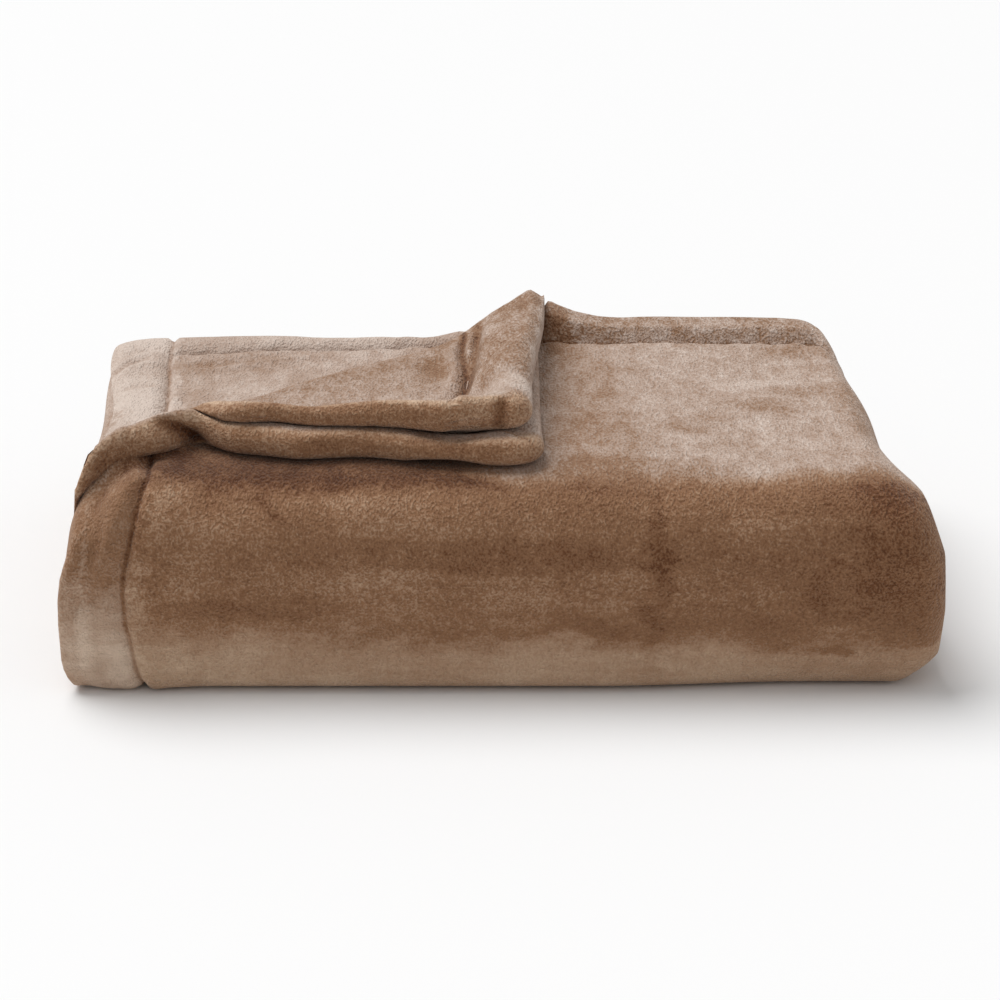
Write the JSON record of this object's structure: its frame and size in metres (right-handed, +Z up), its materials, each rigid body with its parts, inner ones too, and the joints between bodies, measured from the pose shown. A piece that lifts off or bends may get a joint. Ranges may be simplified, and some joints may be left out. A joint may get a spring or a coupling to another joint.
{
  "type": "fleece blanket",
  "caption": "Soft plush fleece blanket, hemmed all round and folded into a thick oblong stack, with one corner of its top plies turned over to show the hems.",
  "frame": {"origin": "middle of the underside, where the folded stack rests", "axes": "+X along the long side to the right, +Y from the rounded front fold to the hemmed back, +Z up"},
  "size_m": [0.5852, 0.3646, 0.1757],
  "materials": {
    "plush_fleece": "warm mocha microplush fleece, short dense pile with soft light and dark nap patches and a low sheen"
  },
  "bodies": {
    "root": {"blanket": "plush_fleece"}
  },
  "joints": []
}
